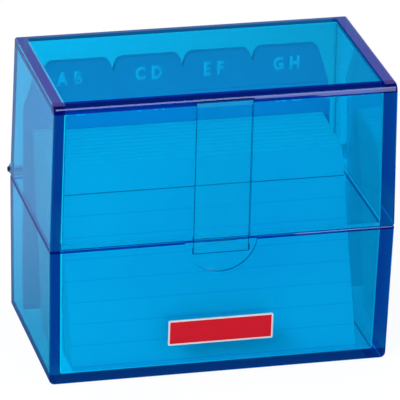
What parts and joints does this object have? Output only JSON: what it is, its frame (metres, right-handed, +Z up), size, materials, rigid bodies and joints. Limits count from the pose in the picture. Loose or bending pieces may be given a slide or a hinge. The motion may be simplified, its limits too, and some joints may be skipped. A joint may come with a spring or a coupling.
{
  "type": "index card box",
  "caption": "Clear hinged-lid box that keeps ruled index cards and tabbed dividers upright, closed by a spring tongue at the front.",
  "frame": {"origin": "middle of the flat underside of the base", "axes": "+Z up, -Y towards the tongue at the front, +Y towards the hinges, +X to the right seen from the front"},
  "size_m": [0.127, 0.0746, 0.1072],
  "materials": {
    "case": "clear tinted polystyrene, polished",
    "pin": "bright wire",
    "label": "coated paper label",
    "card": "uncoated ruled index card",
    "divider": "thin blue-grey sheet, fine matt grain, with white index letters"
  },
  "bodies": {
    "base": {"base_shell": "case", "hinge_pin_left": "pin", "hinge_pin_right": "pin", "front_label": "label"},
    "lid": {"lid_shell": "case"},
    "latch": {"latch_tongue": "case"},
    "card_pack_01": {"card_pack_01": "card"},
    "card_pack_02": {"card_pack_02": "card"},
    "card_pack_03": {"card_pack_03": "card"},
    "card_pack_04": {"card_pack_04": "card"},
    "card_pack_05": {"card_pack_05": "card"},
    "card_pack_06": {"card_pack_06": "card"},
    "card_pack_07": {"card_pack_07": "card"},
    "card_pack_08": {"card_pack_08": "card"},
    "card_pack_09": {"card_pack_09": "card"},
    "card_pack_10": {"card_pack_10": "card"},
    "divider_ab": {"divider_ab": "divider"},
    "divider_cd": {"divider_cd": "divider"},
    "divider_ef": {"divider_ef": "divider"},
    "divider_gh": {"divider_gh": "divider"},
    "divider_ij": {"divider_ij": "divider"},
    "divider_kl": {"divider_kl": "divider"},
    "divider_mn": {"divider_mn": "divider"},
    "divider_op": {"divider_op": "divider"},
    "divider_qr": {"divider_qr": "divider"},
    "divider_st": {"divider_st": "divider"},
    "divider_uv": {"divider_uv": "divider"},
    "divider_wz": {"divider_wz": "divider"}
  },
  "joints": [
    {"name": "lid_hinge", "type": "hinge", "parent": "base", "child": "lid", "pos_m": [0, 0.03801, 0.05365], "axis": [-1, 0, 0], "range_deg": [0, 180]},
    {"name": "latch_flex", "type": "hinge", "parent": "lid", "child": "latch", "pos_m": [-0.0009, -0.03304, 0.10434], "axis": [-1, 0, 0], "range_deg": [0, 3], "stiffness_Nm_per_rad": 1},
    {"name": "cards_tilt", "type": "hinge", "parent": "base", "child": "card_pack_01", "pos_m": [-0.0006, -0.02903, 0.0031], "axis": [1, 0, 0], "range_deg": [0, 22]},
    {"name": "card_pack_02_tilt", "type": "hinge", "parent": "base", "child": "card_pack_02", "pos_m": [-0.0006, -0.02555, 0.0031], "axis": [1, 0, 0], "range_deg": [0, 22]},
    {"name": "card_pack_03_tilt", "type": "hinge", "parent": "base", "child": "card_pack_03", "pos_m": [-0.0006, -0.02208, 0.0031], "axis": [1, 0, 0], "range_deg": [0, 22]},
    {"name": "card_pack_04_tilt", "type": "hinge", "parent": "base", "child": "card_pack_04", "pos_m": [-0.0006, -0.01863, 0.0031], "axis": [1, 0, 0], "range_deg": [0, 22]},
    {"name": "card_pack_05_tilt", "type": "hinge", "parent": "base", "child": "card_pack_05", "pos_m": [-0.0006, -0.01519, 0.0031], "axis": [1, 0, 0], "range_deg": [0, 22]},
    {"name": "card_pack_06_tilt", "type": "hinge", "parent": "base", "child": "card_pack_06", "pos_m": [-0.0006, -0.01176, 0.0031], "axis": [1, 0, 0], "range_deg": [0, 22]},
    {"name": "card_pack_07_tilt", "type": "hinge", "parent": "base", "child": "card_pack_07", "pos_m": [-0.0006, -0.00835, 0.0031], "axis": [1, 0, 0], "range_deg": [0, 22]},
    {"name": "card_pack_08_tilt", "type": "hinge", "parent": "base", "child": "card_pack_08", "pos_m": [-0.0006, -0.00495, 0.0031], "axis": [1, 0, 0], "range_deg": [0, 22]},
    {"name": "card_pack_09_tilt", "type": "hinge", "parent": "base", "child": "card_pack_09", "pos_m": [-0.0006, -0.00156, 0.0031], "axis": [1, 0, 0], "range_deg": [0, 22]},
    {"name": "card_pack_10_tilt", "type": "hinge", "parent": "base", "child": "card_pack_10", "pos_m": [-0.0006, 0.00182, 0.0031], "axis": [1, 0, 0], "range_deg": [0, 22]},
    {"name": "divider_ab_tilt", "type": "hinge", "parent": "base", "child": "divider_ab", "pos_m": [-0.0006, 0.02355, 0.0031], "axis": [1, 0, 0], "range_deg": [0, 21]},
    {"name": "divider_cd_tilt", "type": "hinge", "parent": "base", "child": "divider_cd", "pos_m": [-0.0006, 0.02385, 0.0031], "axis": [1, 0, 0], "range_deg": [0, 21]},
    {"name": "divider_ef_tilt", "type": "hinge", "parent": "base", "child": "divider_ef", "pos_m": [-0.0006, 0.02415, 0.0031], "axis": [1, 0, 0], "range_deg": [0, 21]},
    {"name": "divider_gh_tilt", "type": "hinge", "parent": "base", "child": "divider_gh", "pos_m": [-0.0006, 0.02445, 0.0031], "axis": [1, 0, 0], "range_deg": [0, 21]},
    {"name": "divider_ij_tilt", "type": "hinge", "parent": "base", "child": "divider_ij", "pos_m": [-0.0006, 0.02475, 0.0031], "axis": [1, 0, 0], "range_deg": [0, 21]},
    {"name": "divider_kl_tilt", "type": "hinge", "parent": "base", "child": "divider_kl", "pos_m": [-0.0006, 0.02505, 0.0031], "axis": [1, 0, 0], "range_deg": [0, 21]},
    {"name": "divider_mn_tilt", "type": "hinge", "parent": "base", "child": "divider_mn", "pos_m": [-0.0006, 0.02535, 0.0031], "axis": [1, 0, 0], "range_deg": [0, 21]},
    {"name": "divider_op_tilt", "type": "hinge", "parent": "base", "child": "divider_op", "pos_m": [-0.0006, 0.02565, 0.0031], "axis": [1, 0, 0], "range_deg": [0, 21]},
    {"name": "divider_qr_tilt", "type": "hinge", "parent": "base", "child": "divider_qr", "pos_m": [-0.0006, 0.02595, 0.0031], "axis": [1, 0, 0], "range_deg": [0, 21]},
    {"name": "divider_st_tilt", "type": "hinge", "parent": "base", "child": "divider_st", "pos_m": [-0.0006, 0.02625, 0.0031], "axis": [1, 0, 0], "range_deg": [0, 21]},
    {"name": "divider_uv_tilt", "type": "hinge", "parent": "base", "child": "divider_uv", "pos_m": [-0.0006, 0.02655, 0.0031], "axis": [1, 0, 0], "range_deg": [0, 21]},
    {"name": "divider_wz_tilt", "type": "hinge", "parent": "base", "child": "divider_wz", "pos_m": [-0.0006, 0.02685, 0.0031], "axis": [1, 0, 0], "range_deg": [0, 21]}
  ],
  "couplings": [
    {"joint": "card_pack_02_tilt", "follows": "cards_tilt", "ratio": 1},
    {"joint": "card_pack_03_tilt", "follows": "cards_tilt", "ratio": 1},
    {"joint": "card_pack_04_tilt", "follows": "cards_tilt", "ratio": 1},
    {"joint": "card_pack_05_tilt", "follows": "cards_tilt", "ratio": 1},
    {"joint": "card_pack_06_tilt", "follows": "cards_tilt", "ratio": 1},
    {"joint": "card_pack_07_tilt", "follows": "cards_tilt", "ratio": 1},
    {"joint": "card_pack_08_tilt", "follows": "cards_tilt", "ratio": 1},
    {"joint": "card_pack_09_tilt", "follows": "cards_tilt", "ratio": 1},
    {"joint": "card_pack_10_tilt", "follows": "cards_tilt", "ratio": 1},
    {"joint": "divider_ab_tilt", "follows": "cards_tilt", "ratio": 0.95},
    {"joint": "divider_cd_tilt", "follows": "cards_tilt", "ratio": 0.95},
    {"joint": "divider_ef_tilt", "follows": "cards_tilt", "ratio": 0.95},
    {"joint": "divider_gh_tilt", "follows": "cards_tilt", "ratio": 0.95},
    {"joint": "divider_ij_tilt", "follows": "cards_tilt", "ratio": 0.95},
    {"joint": "divider_kl_tilt", "follows": "cards_tilt", "ratio": 0.95},
    {"joint": "divider_mn_tilt", "follows": "cards_tilt", "ratio": 0.95},
    {"joint": "divider_op_tilt", "follows": "cards_tilt", "ratio": 0.95},
    {"joint": "divider_qr_tilt", "follows": "cards_tilt", "ratio": 0.95},
    {"joint": "divider_st_tilt", "follows": "cards_tilt", "ratio": 0.95},
    {"joint": "divider_uv_tilt", "follows": "cards_tilt", "ratio": 0.95},
    {"joint": "divider_wz_tilt", "follows": "cards_tilt", "ratio": 0.95}
  ]
}
